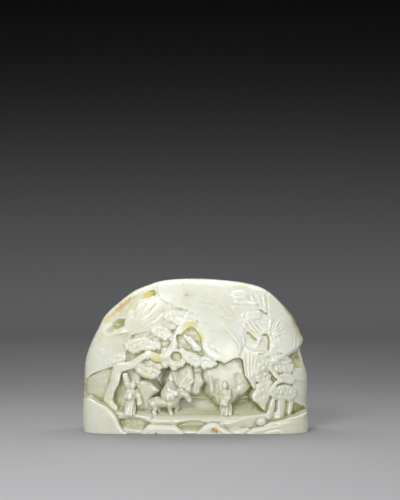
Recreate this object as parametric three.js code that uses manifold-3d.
// A jade boulder carving: a mountain in one piece of stone, with a grotto, two old pines,
// a rider on a horse, an attendant, a standing figure and a pavilion near the peak.
// Millimetres, +Z up, +X to the right, the carved face towards -Y, the flat foot at z = 0.

import * as THREE from 'three';
import { mergeVertices } from 'three/addons/utils/BufferGeometryUtils.js';
import Module from 'manifold-3d';

// Size of the whole stone
const WIDTH = 220;
const HEIGHT = 146.5;
const DEPTH = 70;

// Grotto and terrace
const LIP_HEIGHT = 17;
const FLOOR_RISE = 13;
const LIP_SETBACK = 6;
const WALL_SETBACK = 27;

// Figures, horse and trees
const FIGURE_HEIGHT = 32;
const RIDER_HEIGHT = 27;
const HORSE_HEIGHT = 23;
const HORSE_LENGTH = 38;
const LEG_WIDTH = 3.2;
const PATH_SETBACK = 9.5;
const PAD_THICKNESS = 9;
const TUFT_WIDTH = 4.2;
const TRUNK_WIDTH = 9.5;
const TWIG_WIDTH = 4.6;

// Pavilion and small rocks
const ROOF_SPAN = 15;
const ROOF_HEIGHT = 6;
const STEP_RISE = 1.7;
const STEP_COUNT = 4;
const STEP_WIDTH = 5;
const STEP_DEPTH = 6;
const PLATFORM_THICKNESS = 3;
const PEBBLE_WIDTH = 8.5;

// Shape of the raw pebble: how full its faces are, where it is thickest, how finely it is
// cut, and the shortest edge and the least height that a facet is left with
const FULLNESS = 2.2;
const FOOT_FULLNESS = 5;
const THICKEST = 15;
const AROUND = 40;
const RINGS = 8;
const GRAIN = 0.25;
const THINNEST = 0.01;

const FRONT = -1;
const BACK = 1;

const wasm = await Module();
wasm.setup();

// Places are shares: x in hundredths of the half width, z in hundredths of the height
const across = (x) => (x * WIDTH) / 200;
const up = (z) => (z * HEIGHT) / 100;
const degrees = THREE.MathUtils.degToRad;

// Outline of the pebble seen from the front, running on below the foot
const OUTLINE = [
  [-100, 3], [-100, 14], [-99.5, 22], [-98.8, 37], [-98, 45], [-95.4, 52.5], [-91, 60.3],
  [-85.7, 68], [-80, 75.8], [-69, 83.5], [-55.6, 91.3], [-44, 95.2], [-29, 98.7], [-8, 100],
  [10, 99.8], [24, 99], [40, 97.6], [55, 95], [65, 91], [76, 83.5], [85, 75.8], [90.5, 68],
  [93.5, 63], [95.5, 59], [92.3, 54.5], [93.5, 50], [95.4, 45], [98.8, 37], [99.2, 29],
  [99, 20], [99, 10], [100, 3], [96, -10], [70, -22], [0, -27], [-70, -22], [-96, -10],
];

// Turns a geometry of three.js into a solid that can be joined and cut
function solid(geometry) {
  geometry.deleteAttribute('normal');
  geometry.deleteAttribute('uv');
  const merged = mergeVertices(geometry, 1e-4);
  const corners = merged.index.array;
  const triangles = [];
  for (let i = 0; i < corners.length; i += 3) {
    const [a, b, c] = [corners[i], corners[i + 1], corners[i + 2]];
    if (a !== b && b !== c && c !== a) triangles.push(a, b, c);
  }
  return new wasm.Manifold(new wasm.Mesh({
    numProp: 3,
    vertProperties: new Float32Array(merged.attributes.position.array),
    triVerts: new Uint32Array(triangles),
  }));
}

function joined(parts) {
  return parts.flat().reduce((whole, part) => whole.add(part));
}

// Moves every corner of a geometry by a rule
function reshape(geometry, rule) {
  const position = geometry.attributes.position;
  const point = new THREE.Vector3();
  for (let i = 0; i < position.count; i += 1) {
    point.fromBufferAttribute(position, i);
    rule(point);
    position.setXYZ(i, point.x, point.y, point.z);
  }
  return geometry;
}

// The outline as distances from the thickest point, stretched to the exact width and height
function measureOutline() {
  const knots = OUTLINE.map(([x, z]) => new THREE.Vector3(across(x), 0, up(z)));
  const points = new THREE.CatmullRomCurve3(knots, true).getPoints(600);
  const highest = Math.max(...points.map((p) => p.z));
  const widest = Math.max(...points.map((p) => Math.abs(p.x)));
  const rays = points.map((p) => {
    const x = (p.x * WIDTH) / 2 / widest;
    const z = (p.z * HEIGHT) / highest - up(THICKEST);
    return { angle: Math.atan2(x, z), reach: Math.hypot(x, z) };
  });
  return rays.sort((a, b) => a.angle - b.angle);
}

const RAYS = measureOutline();

function outlineReach(angle) {
  const after = RAYS.findIndex((ray) => ray.angle >= angle);
  const next = RAYS[after < 0 ? 0 : after];
  const last = RAYS[(after <= 0 ? RAYS.length : after) - 1];
  const gap = next.angle - last.angle;
  if (after <= 0 || gap < 1e-9) return next.reach;
  return THREE.MathUtils.lerp(last.reach, next.reach, (angle - last.angle) / gap);
}

// The raw pebble; front and back say how much of the half depth each face bulges, and
// fullness how squarely
function pebble(front, back = front, fullness = FULLNESS) {
  const ball = reshape(new THREE.SphereGeometry(1, AROUND, RINGS), (point) => {
    const angle = Math.atan2(point.x, point.z);
    const reach = outlineReach(angle) * Math.hypot(point.x, point.z) ** (2 / fullness);
    const bulge = (Math.abs(point.y) ** (2 / fullness) * DEPTH) / 2;
    const y = point.y < 0 ? -bulge * front : bulge * back;
    point.set(reach * Math.sin(angle), y, up(THICKEST) + reach * Math.cos(angle));
  });
  return solid(ball);
}

// Depth of the pebble's face at a place, as y; share 1 is the uncut front
function faceDepth(x, z, share) {
  const [dx, dz] = [across(x), up(z) - up(THICKEST)];
  const part = Math.min(1, Math.hypot(dx, dz) / outlineReach(Math.atan2(dx, dz)));
  return (-share * DEPTH * (1 - part ** FULLNESS) ** (1 / FULLNESS)) / 2;
}

function placeOn(x, z, share) {
  return new THREE.Vector3(across(x), faceDepth(x, z, share), up(z));
}

// A prism with this outline that runs from the middle of the stone out past one face
function prism(outline, side = FRONT) {
  const shape = new THREE.Shape(outline.map(([x, z]) => new THREE.Vector2(across(x), up(z))));
  const bar = new THREE.ExtrudeGeometry(shape, { depth: DEPTH, bevelEnabled: false });
  bar.rotateX(degrees(90));
  if (side === BACK) bar.translate(0, DEPTH, 0);
  return solid(bar);
}

// A layer of rock with this outline, standing out to a share of the pebble's bulge
function slab(outline, share, side = FRONT) {
  return prism(outline, side).intersect(pebble(share));
}

// A rock with this outline and a rounded face that falls away towards its edges
function boss(outline, share, spread) {
  const range = (list) => [Math.min(...list), Math.max(...list)];
  const [left, right] = range(outline.map(([x]) => x));
  const [bottom, top] = range(outline.map(([, z]) => z));
  const centre = placeOn((left + right) / 2, (bottom + top) / 2, share);
  const radii = [
    (spread * across(right - left)) / 2,
    Math.abs(centre.y),
    (spread * up(top - bottom)) / 2,
  ];
  centre.y = 0;
  return prism(outline).intersect(ball(centre, radii)).intersect(pebble(1));
}

// A round bar along a curve, thick at its first point and thinner towards its last
function limb(points, width, endWidth = width, sides = 5) {
  const curve = new THREE.CatmullRomCurve3(points);
  const steps = 2 * (points.length - 1);
  const profile = [new THREE.Vector2(0, -0.04)];
  for (let i = 0; i <= steps; i += 1) profile.push(new THREE.Vector2(1, i / steps));
  profile.push(new THREE.Vector2(0, 1.04));
  const frames = curve.computeFrenetFrames(100, false);
  const bar = reshape(new THREE.LatheGeometry(profile, sides), (point) => {
    const along = THREE.MathUtils.clamp(point.y, 0, 1);
    const radius = THREE.MathUtils.lerp(width, endWidth, along) / 2;
    const frame = Math.round(along * 100);
    const [sideways, outward] = [point.x * radius, point.z * radius];
    const past = (point.y - along) * 25 * radius;
    point.copy(curve.getPointAt(along));
    point.addScaledVector(frames.normals[frame], outward);
    point.addScaledVector(frames.binormals[frame], sideways);
    point.addScaledVector(frames.tangents[frame], past);
  });
  return solid(bar);
}

function ball(centre, radii, sides = 12, tilt = 0) {
  const shape = new THREE.SphereGeometry(1, sides, Math.ceil(sides / 2));
  shape.scale(radii[0], radii[1], radii[2]);
  shape.rotateY(degrees(tilt));
  shape.translate(centre.x, centre.y, centre.z);
  return solid(shape);
}

// A pad of pine needles: a flat cushion with a scalloped edge, leaning with the branch
function needlePad([x, z, share, length, height, tilt]) {
  const lobes = Math.max(6, Math.round(across(length) / TUFT_WIDTH));
  const cushion = reshape(new THREE.SphereGeometry(1, 2 * lobes, 4), (point) => {
    const rim = Math.hypot(point.x, point.z) ** 3;
    const edge = 1 + 0.09 * rim * Math.cos(lobes * Math.atan2(point.z, -point.x));
    point.x *= (edge * across(length)) / 2;
    point.z *= (edge * up(height)) / 2;
    point.y *= PAD_THICKNESS / 2;
  });
  cushion.rotateY(degrees(tilt));
  const centre = placeOn(x, z, share);
  cushion.translate(centre.x, centre.y + PAD_THICKNESS * 0.3, centre.z);
  return solid(cushion);
}

// The mountain itself: the cut-back heart of the pebble and the layers of rock on its face
const RIM = [
  [-125, 18], [-125, 125], [125, 125], [125, 54], [90, 55], [86, 62], [83, 69], [77, 74],
  [65, 76], [64, 91], [58, 95], [10, 99], [-31, 97], [-37, 93], [-51, 89], [-65, 82],
  [-76, 72], [-83, 64], [-90, 53], [-93, 39], [-94, 18],
];
const LEFT_HILL = [
  [-97, 18], [-97, 36], [-93, 50], [-88, 57], [-85, 61], [-80, 65], [-74, 65], [-72, 67],
  [-65, 69], [-60, 70], [-56, 69], [-58, 61], [-59, 53], [-65, 43], [-70, 35], [-73, 26],
  [-79, 18],
];
const UPPER_LEFT = [
  [-63, 65], [-63, 71], [-62, 75], [-60, 79], [-55, 80], [-53, 81], [-52, 85], [-51, 87],
  [-40, 89], [-36, 91], [-26, 87], [-18, 85], [-10, 82], [0, 77], [-8, 74], [-20, 71],
  [-38, 68], [-55, 63],
];
const ROUND_HILL = [
  [-58, 50], [-60, 60], [-56, 65], [-48, 68], [-38, 69], [-30, 66], [-27, 58], [-40, 50],
];
const SUMMIT = [
  [-18, 85], [-26, 87], [-36, 90], [-36, 97], [-31, 105], [61, 105], [62, 92], [60, 81],
  [47, 79], [38, 75], [17, 74], [2, 74], [-5, 79],
];
const CLIFF = [
  [0, 78], [17, 76], [38, 76], [41, 69], [45, 61], [43, 56], [39, 54], [38, 48], [31, 47],
  [24, 45], [18, 47], [16, 49], [10, 55], [7, 62], [2, 69],
];
const CURTAIN = [
  [38, 75], [51, 75], [65, 75], [67, 77], [73, 76], [84, 70], [88, 63], [91, 56], [89, 52],
  [83, 52], [78, 52], [66, 52], [58, 50], [53, 45], [51, 38], [51, 30], [50, 26], [46, 30],
  [43, 34], [39, 37], [38, 42], [38, 48], [39, 54], [44, 58],
];
const LEDGE = [[37, 77], [66, 74], [67, 80], [58, 82], [47, 81.5], [40, 79.5]];
const HOLLOWS = [
  { share: 0.7, outline: [
    [45, 66], [49, 62], [54, 60], [57, 62], [60, 64], [63, 64], [64, 54], [54, 54], [46, 55],
  ] },
  { share: 0.35, outline: [
    [-81, 66], [-79, 69], [-75, 73], [-68, 76], [-63, 75], [-64, 70], [-68, 69], [-73, 66],
  ] },
  { share: 0.3, outline: [[-52, 88], [-48, 91], [-42, 93], [-37, 93], [-38, 90], [-44, 89]] },
  { share: 0.5, outline: [[88, 51], [93, 51], [93, 45], [90, 46]] },
  { share: 0.55, outline: [[84, 22], [97, 19], [97, 12], [88, 13]] },
];

function mountain() {
  const heart = pebble(0.6, 0.8);
  const layers = [
    slab(RIM, 1),
    boss(LEFT_HILL, 0.94, 1.9),
    slab(UPPER_LEFT, 0.82),
    boss(ROUND_HILL, 0.84, 1.5),
    slab(SUMMIT, 0.93),
    boss(CLIFF, 1, 2),
    slab(CURTAIN, 0.9),
    slab(LEDGE, 0.98),
  ];
  return joined([heart.subtract(grotto()), layers]);
}

function hollows() {
  return HOLLOWS.map(({ share, outline }) => prism(outline).subtract(pebble(share)));
}

// The grotto behind the terrace, and the rocks that hang in it
const GROTTO = [
  [-75, 8], [-73, 20], [-72, 28], [-68, 35], [-65, 41], [-60, 44], [-40, 45], [-14, 46],
  [-4, 50], [16, 52], [38, 52], [42, 46], [43, 37], [47, 31], [53, 26], [54, 22], [57, 18],
  [64, 13], [66, 8],
];
const HANGING_ROCKS = [
  { share: 0.72, outline: [
    [6, 52], [7, 41], [8, 34], [11, 28], [14, 24], [18, 19], [22, 16], [26, 16], [31, 18],
    [35, 20], [37, 24], [41, 26], [45, 30], [41, 34], [39, 40], [40, 52],
  ] },
  { share: 0.5, outline: [[-8, 50], [-4, 37], [-4, 25], [3, 25], [4, 30], [7, 34], [7, 50]] },
  { share: 0.68, outline: [
    [-19, 38], [-14, 44], [-7, 46], [-2, 38], [-2, 34], [-3, 30], [-5, 24], [-14, 24],
    [-19, 31],
  ] },
  { share: 0.62, outline: [
    [-58, 26], [-59, 31], [-56, 35], [-50, 36], [-44, 34], [-41, 29], [-41, 22], [-44, 18],
    [-52, 18],
  ] },
];

function grotto() {
  const nearest = faceDepth(0, THICKEST, 1) + WALL_SETBACK;
  return prism(GROTTO).subtract(pebble((-2 * nearest) / DEPTH));
}

// Low niches under the front of the terrace
const NICHES = [
  [[-72, -2], [-66, 4], [-58, 5.5], [-50, 5], [-44, -2]],
  [[-18, -2], [-14, 4.5], [-6, 6], [0, 5], [4, -2]],
];

function hangingRocks() {
  return HANGING_ROCKS.map(({ share, outline }) => boss(outline, share, 1.5));
}

// Height of the sloping terrace floor at a depth
function floorHeight(y) {
  const lip = -DEPTH / 2 + LIP_SETBACK;
  const wall = -DEPTH / 2 + WALL_SETBACK;
  const part = THREE.MathUtils.clamp((y - lip) / (wall - lip), 0, 1);
  return LIP_HEIGHT + FLOOR_RISE * part;
}

function terrace() {
  const lip = -DEPTH / 2 + LIP_SETBACK;
  const wall = -DEPTH / 2 + WALL_SETBACK;
  const profile = [
    [0, 0], [0, floorHeight(wall)], [wall, floorHeight(wall)], [lip, LIP_HEIGHT],
    [lip - LIP_SETBACK * 0.6, LIP_HEIGHT * 0.85], [-DEPTH, LIP_HEIGHT * 0.5], [-DEPTH, 0],
  ];
  const shape = new THREE.Shape(profile.map(([y, z]) => new THREE.Vector2(y, z)));
  const bar = new THREE.ExtrudeGeometry(shape, { depth: across(150), bevelEnabled: false });
  bar.applyMatrix4(new THREE.Matrix4().makeBasis(
    new THREE.Vector3(0, 1, 0),
    new THREE.Vector3(0, 0, 1),
    new THREE.Vector3(1, 0, 0),
  ));
  bar.translate(across(-80), 0, 0);
  const niches = NICHES.map((outline) => prism(outline).subtract(pebble(0.78)));
  return solid(bar).intersect(pebble(0.9)).subtract(joined(niches));
}

// Rocks along the foot and at the right end
const BASE_ROCKS = [
  { share: 1, outline: [
    [-110, -6], [-110, 23], [-101, 23], [-93, 23], [-88, 22], [-84, 20], [-77, 18],
    [-72, 14], [-69, 9], [-65, 4], [-58, -2],
  ] },
  { share: 0.98, outline: [[-46, -2], [-43, 3], [-38, 7], [-18, 7], [-14, 4], [-12, -2]] },
  { share: 0.99, outline: [[1, -2], [6, 6], [10, 9], [16, 10], [23, 8], [30, 4], [33, -2]] },
  { share: 0.96, outline: [[30, -2], [33, 4], [37, 6], [43, 6], [47, 3], [48, -2]] },
  { share: 1, outline: [
    [45, -2], [47, 5], [52, 6], [63, 8], [73, 9], [86, 13], [95, 14], [99, 12], [110, 12],
    [110, -6],
  ] },
];
const GROVE = [
  [56, 50], [66, 52], [73, 53], [80, 51], [84, 45], [86, 20], [87, 13], [73, 7], [63, 6],
  [60, 13], [55, 17], [51, 21], [49, 23], [51, 27], [51, 38], [53, 45],
];
const RIGHT_BLOCK = [
  [84, 46], [87, 42], [96, 42], [110, 41], [110, 16], [96, 16], [92, 16], [87, 19], [84, 27],
];

function baseRocks() {
  const rocks = BASE_ROCKS.map(({ share, outline }) => (
    prism(outline).intersect(pebble(share, share, FOOT_FULLNESS))
  ));
  const radius = PEBBLE_WIDTH / 2;
  const knob = ball(placeOn(56, 8, 0.97), [radius, radius, radius * 1.1], 10);
  return [rocks, boss(GROVE, 0.93, 1.7), slab(RIGHT_BLOCK, 0.93), knob].flat();
}

// Left pine. Pads: x, z, share of the bulge, length and height as shares, tilt in degrees
const LEFT_PADS = [
  [-22, 81.5, 0.92, 13, 8, -8], [-13.5, 75.5, 0.96, 33, 10, 8], [0, 69.5, 0.94, 17, 8, 12],
  [8, 65.5, 0.97, 12, 9, 40], [-30.5, 66, 0.95, 20, 9.5, 6], [-22.5, 62.5, 0.9, 15, 7.5, 5],
  [-48, 61.5, 0.93, 22, 8, -4], [-46, 57.5, 0.97, 35, 10, 2], [-72.5, 47, 0.95, 25, 9.5, -14],
  [-2.5, 60, 0.97, 25, 8, 46], [1, 49, 0.99, 33, 9.5, 14], [10.5, 47, 1, 20, 9, 4],
  [-25.5, 49, 0.96, 34, 11.5, 2], [-41, 41.5, 1, 24, 10.5, 14],
];
// Limbs: points as x, z, share, then the widths at both ends
const LEFT_LIMBS = [
  { points: [[-78, 14, 0.88], [-73, 26, 0.88], [-69, 36, 0.9], [-67, 41.5, 0.9]],
    widths: [TRUNK_WIDTH, TRUNK_WIDTH * 0.8] },
  { points: [[-67, 41.5, 0.9], [-58, 44.5, 0.9], [-47, 49.5, 0.9], [-31, 54, 0.88]],
    widths: [TRUNK_WIDTH * 0.8, TRUNK_WIDTH * 0.6] },
  { points: [[-31, 54, 0.88], [-21, 56, 0.87], [-18, 61, 0.86], [-15, 67, 0.86], [-13.5, 73, 0.84]],
    widths: [TRUNK_WIDTH * 0.6, TWIG_WIDTH] },
  { points: [[-66, 41, 0.93], [-71, 43, 0.92], [-78, 45, 0.9]], widths: [TWIG_WIDTH, TWIG_WIDTH] },
  { points: [[-19, 59, 0.9], [-26, 62, 0.9], [-34, 63, 0.88]], widths: [TWIG_WIDTH, TWIG_WIDTH] },
  { points: [[-15, 65.5, 0.9], [-8, 68, 0.9], [2, 67.5, 0.9]], widths: [TWIG_WIDTH, TWIG_WIDTH] },
  { points: [[-22, 56, 0.9], [-12, 55, 0.93], [-4, 56, 0.93]], widths: [TWIG_WIDTH, TWIG_WIDTH] },
];

// Right pine, forked like a Y above its trunk
const RIGHT_PADS = [
  [70, 47, 0.97, 28, 7.5, 2], [59, 42.5, 0.97, 17, 9.5, -40], [77, 41.5, 0.98, 18, 7, 4],
  [78, 34.5, 0.97, 18, 9, 14], [75, 26.5, 0.98, 21.5, 10, 6], [57, 32.5, 0.94, 15, 12, 0],
  [57, 24.5, 0.96, 17, 16, 18],
];
const RIGHT_LIMBS = [
  { points: [[77.5, 9, 0.92], [77.5, 18, 0.93], [76, 28.5, 0.93]],
    widths: [TRUNK_WIDTH * 0.7, TRUNK_WIDTH * 0.6] },
  { points: [[76, 28.5, 0.92], [73, 34, 0.94], [66, 38, 0.95], [62, 42, 0.95]],
    widths: [TRUNK_WIDTH * 0.6, TWIG_WIDTH] },
  { points: [[74.5, 32.5, 0.94], [68, 29.5, 0.95], [65, 26, 0.95]], widths: [TWIG_WIDTH, TWIG_WIDTH] },
  { points: [[82, 8, 0.9], [81, 17, 0.92], [79, 25, 0.93]], widths: [TWIG_WIDTH, TWIG_WIDTH] },
  { points: [[77, 13, 0.93], [70, 9.5, 0.94], [64, 8.5, 0.94]], widths: [TWIG_WIDTH, TWIG_WIDTH] },
];

function pine(limbs, pads) {
  const wood = limbs.map(({ points, widths }) => (
    limb(points.map((point) => placeOn(...point)), ...widths, widths[0] > TWIG_WIDTH ? 7 : 5)
  ));
  return [...wood, ...pads.map(needlePad)];
}

// A robed person; arms is where both hands meet, seen from the neck
function person(foot, height, arms, sides = 7) {
  const profile = [
    [0, -0.06], [0.17, -0.06], [0.165, 0.1], [0.125, 0.42], [0.135, 0.72], [0, 0.88],
  ].map(([r, z]) => new THREE.Vector2(r * height, z * height));
  const robe = new THREE.LatheGeometry(profile, sides);
  robe.rotateX(degrees(90));
  robe.translate(foot.x, foot.y, foot.z);
  const head = foot.clone().add(new THREE.Vector3(0, 0, 0.9 * height));
  const knot = foot.clone().add(new THREE.Vector3(-0.02 * height, 0, 0.99 * height));
  const neck = foot.clone().add(new THREE.Vector3(0, 0, 0.74 * height));
  const hands = neck.clone().add(arms);
  const elbow = neck.clone().lerp(hands, 0.5);
  elbow.z -= 0.06 * height;
  return [
    solid(robe),
    ball(head, [0.085 * height, 0.09 * height, 0.1 * height], sides),
    ball(knot, [0.045 * height, 0.045 * height, 0.04 * height], 6),
    limb([neck, elbow, hands], 0.15 * height, 0.12 * height),
  ];
}

function standOn(x, y) {
  return new THREE.Vector3(across(x), y, floorHeight(y));
}

// The horse walks to the right with its head low; shares of its height and length
function horse(foot) {
  const at = (x, y, z) => new THREE.Vector3(
    foot.x + x * HORSE_LENGTH,
    foot.y + y * HORSE_HEIGHT,
    foot.z + z * HORSE_HEIGHT,
  );
  const trunk = ball(
    at(-0.12, 0, 0.66),
    [0.36 * HORSE_LENGTH, 0.24 * HORSE_HEIGHT, 0.3 * HORSE_HEIGHT],
    10,
  );
  const neck = limb([at(0.12, 0, 0.74), at(0.26, 0, 0.9), at(0.36, 0, 0.84)],
    0.42 * HORSE_HEIGHT, 0.28 * HORSE_HEIGHT);
  const head = limb([at(0.34, 0, 0.88), at(0.44, 0, 0.74), at(0.5, 0, 0.62)],
    0.28 * HORSE_HEIGHT, 0.17 * HORSE_HEIGHT);
  const tail = limb([at(-0.42, 0, 0.8), at(-0.48, 0, 0.6), at(-0.47, 0, 0.35)],
    LEG_WIDTH, LEG_WIDTH * 0.8, 5);
  const legs = [[-0.38, -0.14], [-0.3, 0.14], [0.04, -0.14], [0.12, 0.14]].map(([x, y]) => limb(
    [at(x, y, 0.6), at(x + 0.02, y, -0.12)],
    LEG_WIDTH * 1.3, LEG_WIDTH, 5,
  ));
  return [trunk, neck, head, tail, ...legs];
}

function travellers() {
  const path = -DEPTH / 2 + PATH_SETBACK;
  const horseFoot = standOn(-22, path);
  const onHorse = (x, y, z) => new THREE.Vector3(x, y, z).multiplyScalar(HORSE_HEIGHT);
  const saddle = horseFoot.clone().add(onHorse(-0.04, 0, 0.62));
  const reach = (x, y, z) => new THREE.Vector3(x, y, z).multiplyScalar(FIGURE_HEIGHT);
  const porter = standOn(-56, path);
  const load = porter.clone().add(reach(-0.13, 0.05, 0.98));
  const shoulder = porter.clone().add(reach(0, 0.02, 0.7));
  return [
    horse(horseFoot),
    limb([
      saddle.clone().add(onHorse(0, -0.04, 0.13)),
      saddle.clone().add(onHorse(0.13, -0.26, -0.04)),
      saddle.clone().add(onHorse(0.17, -0.3, -0.36)),
    ], LEG_WIDTH * 1.5, LEG_WIDTH * 1.1),
    person(saddle, RIDER_HEIGHT, new THREE.Vector3(0.3, -0.06, -0.22).multiplyScalar(RIDER_HEIGHT)),
    person(porter, FIGURE_HEIGHT, reach(0.2, -0.05, -0.24)),
    limb([shoulder, load, load.clone().add(reach(-0.06, 0, 0.2))], 0.14 * FIGURE_HEIGHT,
      0.2 * FIGURE_HEIGHT),
    person(standOn(26, path), FIGURE_HEIGHT, reach(-0.14, -0.12, -0.2)),
  ].flat();
}

// The pavilion on its ledge, with steps down to the left
function box(centre, size, tilt = 0) {
  const block = new THREE.BoxGeometry(...size);
  block.rotateY(degrees(tilt));
  block.translate(centre.x, centre.y, centre.z);
  return solid(block);
}

function pavilion() {
  const seat = placeOn(43, 86, 0.95);
  const rise = (z) => seat.clone().add(new THREE.Vector3(-0.13 * ROOF_SPAN, 0.07 * ROOF_SPAN, z));
  const roof = reshape(new THREE.CylinderGeometry(0.25, 1, 1, 12, 3), (point) => {
    point.x *= ROOF_SPAN / 2;
    point.z *= ROOF_SPAN / 2.6;
    point.y = (point.y + 0.5) ** 1.3 * ROOF_HEIGHT;
  });
  roof.rotateX(degrees(90));
  const eaves = rise(ROOF_HEIGHT * 0.6);
  roof.translate(eaves.x, eaves.y, eaves.z);
  const hall = box(rise(0), [ROOF_SPAN * 0.72, ROOF_SPAN * 0.5, ROOF_HEIGHT * 1.6]);
  const platform = box(rise(-ROOF_HEIGHT * 0.9), [
    ROOF_SPAN * 1.2, ROOF_SPAN * 0.6, PLATFORM_THICKNESS,
  ]);
  const steps = [];
  for (let i = 0; i < STEP_COUNT; i += 1) {
    const place = placeOn(33 - 2 * i, 81.5, 0.97);
    place.z = seat.z - ROOF_HEIGHT * 0.9 - i * STEP_RISE * 2;
    steps.push(box(place, [STEP_WIDTH, STEP_DEPTH, STEP_RISE * 2.1]));
  }
  return [solid(roof), hall, platform, ...steps];
}

// The back: plainer mountains in low layers
const BACK_LAYERS = [
  { share: 0.94, outline: [
    [-110, -6], [-110, 34], [-90, 44], [-76, 58], [-64, 63], [-56, 58], [-46, 60], [-34, 44],
    [-18, 38], [-6, 22], [4, 16], [10, -6],
  ] },
  { share: 1, outline: [
    [-26, -6], [-10, 12], [6, 20], [16, 34], [30, 40], [36, 50], [48, 56], [58, 50],
    [68, 46], [78, 32], [110, 26], [110, -6],
  ] },
  { share: 0.88, outline: [
    [-64, 40], [-46, 66], [-36, 72], [-28, 84], [-14, 91], [-4, 86], [8, 76], [20, 74],
    [32, 64], [48, 66], [62, 54], [76, 30], [10, 10],
  ] },
  { share: 0.97, outline: [
    [-125, 70], [-84, 68], [-60, 84], [-20, 97], [34, 95], [66, 82], [84, 66], [125, 64],
    [125, 125], [-125, 125],
  ] },
];

function backMountains() {
  return BACK_LAYERS.map(({ share, outline }) => slab(outline, share, BACK));
}

function carving() {
  const rock = joined([
    mountain(), terrace(), hangingRocks(), baseRocks(), backMountains(), pavilion(),
  ]).subtract(joined(hollows()));
  const living = joined([
    pine(LEFT_LIMBS, LEFT_PADS), pine(RIGHT_LIMBS, RIGHT_PADS), travellers(),
  ]);
  const ground = box(new THREE.Vector3(0, 0, -HEIGHT), [2 * WIDTH, 2 * WIDTH, 2 * HEIGHT]);
  return rock.add(living).subtract(ground);
}

// Keeps the outer skin alone, so that no sealed pore stays inside the stone
function outerSkin(faces, cornerCount) {
  const links = Array.from({ length: cornerCount }, (_, corner) => corner);
  const rootOf = (corner) => {
    let root = corner;
    while (links[root] !== root) root = links[root];
    links[corner] = root;
    return root;
  };
  faces.forEach(([a, b, c]) => {
    links[rootOf(a)] = rootOf(b);
    links[rootOf(b)] = rootOf(c);
  });
  const sizes = new Map();
  faces.forEach(([a]) => sizes.set(rootOf(a), (sizes.get(rootOf(a)) ?? 0) + 1));
  const [skin] = [...sizes].sort((a, b) => b[1] - a[1])[0];
  return faces.filter(([a]) => rootOf(a) === skin);
}

// Draws the ends of very short edges together, as polishing does, and keeps the skin closed
function polish(faces, points) {
  const around = points.map(() => new Set());
  faces.forEach((face) => face.forEach((corner) => around[corner].add(face)));
  const neighbours = (corner) => new Set([...around[corner]].flat());
  const normal = (face) => {
    const [a, b, c] = face.map((corner) => points[corner]);
    return b.clone().sub(a).cross(c.clone().sub(a));
  };
  const isShort = ([a, b]) => points[a].distanceTo(points[b]) < GRAIN;
  const edges = faces.flatMap(([a, b, c]) => [[a, b], [b, c], [c, a]]).filter(isShort);
  edges.forEach((edge) => {
    const [keep, drop] = edge.sort((a, b) => points[a].z - points[b].z);
    const shared = [...around[drop]].filter((face) => face.includes(keep));
    const common = [...neighbours(drop)].filter((corner) => neighbours(keep).has(corner));
    if (shared.length !== 2 || common.length !== 4) return;
    const moved = [...around[drop]].filter((face) => !face.includes(keep));
    const renamed = moved.map((face) => face.map((corner) => (corner === drop ? keep : corner)));
    if (renamed.some((face, i) => normal(face).dot(normal(moved[i])) < 0)) return;
    shared.forEach((face) => face.forEach((corner) => around[corner].delete(face)));
    moved.forEach((face, i) => {
      face.splice(0, 3, ...renamed[i]);
      around[keep].add(face);
    });
    around[drop].clear();
  });
  return faces.filter((face) => around[face[0]].has(face));
}

// Turns the long edge of each needle-thin facet over to the corner that lies on it
function turnThinFacets(faces, points) {
  const span = (a, b) => points[a].distanceTo(points[b]);
  faces.forEach((face) => {
    const [p, q, r] = face;
    const turns = [[p, q, r], [q, r, p], [r, p, q]];
    const [a, b, c] = turns.sort((one, two) => span(two[0], two[1]) - span(one[0], one[1]))[0];
    const side = points[b].clone().sub(points[a]);
    const height = side.clone().cross(points[c].clone().sub(points[a])).length() / side.length();
    if (height > THINNEST) return;
    const other = faces.find((near) => near !== face && near.includes(a) && near.includes(b));
    const d = other.find((corner) => corner !== a && corner !== b);
    if (faces.some((near) => near.includes(c) && near.includes(d))) return;
    face.splice(0, 3, a, d, c);
    other.splice(0, 3, d, b, c);
  });
  return faces;
}

function meshOf(name, body, material) {
  const { vertProperties, triVerts } = body.getMesh();
  const points = [];
  for (let i = 0; i < vertProperties.length; i += 3) {
    points.push(new THREE.Vector3(...vertProperties.subarray(i, i + 3)));
  }
  const faces = [];
  for (let i = 0; i < triVerts.length; i += 3) faces.push([...triVerts.subarray(i, i + 3)]);
  const smooth = polish(polish(outerSkin(faces, points.length), points), points);
  const skin = turnThinFacets(smooth, points);
  const geometry = new THREE.BufferGeometry();
  geometry.setAttribute('position', new THREE.BufferAttribute(vertProperties, 3));
  geometry.setIndex(skin.flat());
  geometry.computeVertexNormals();
  const mesh = new THREE.Mesh(geometry, material);
  mesh.name = name;
  return mesh;
}

const jade = new THREE.MeshStandardMaterial({ color: 0xdde0c8, roughness: 0.28, metalness: 0 });

const group = new THREE.Group();
group.add(meshOf('jade_boulder', carving(), jade));

export default group;
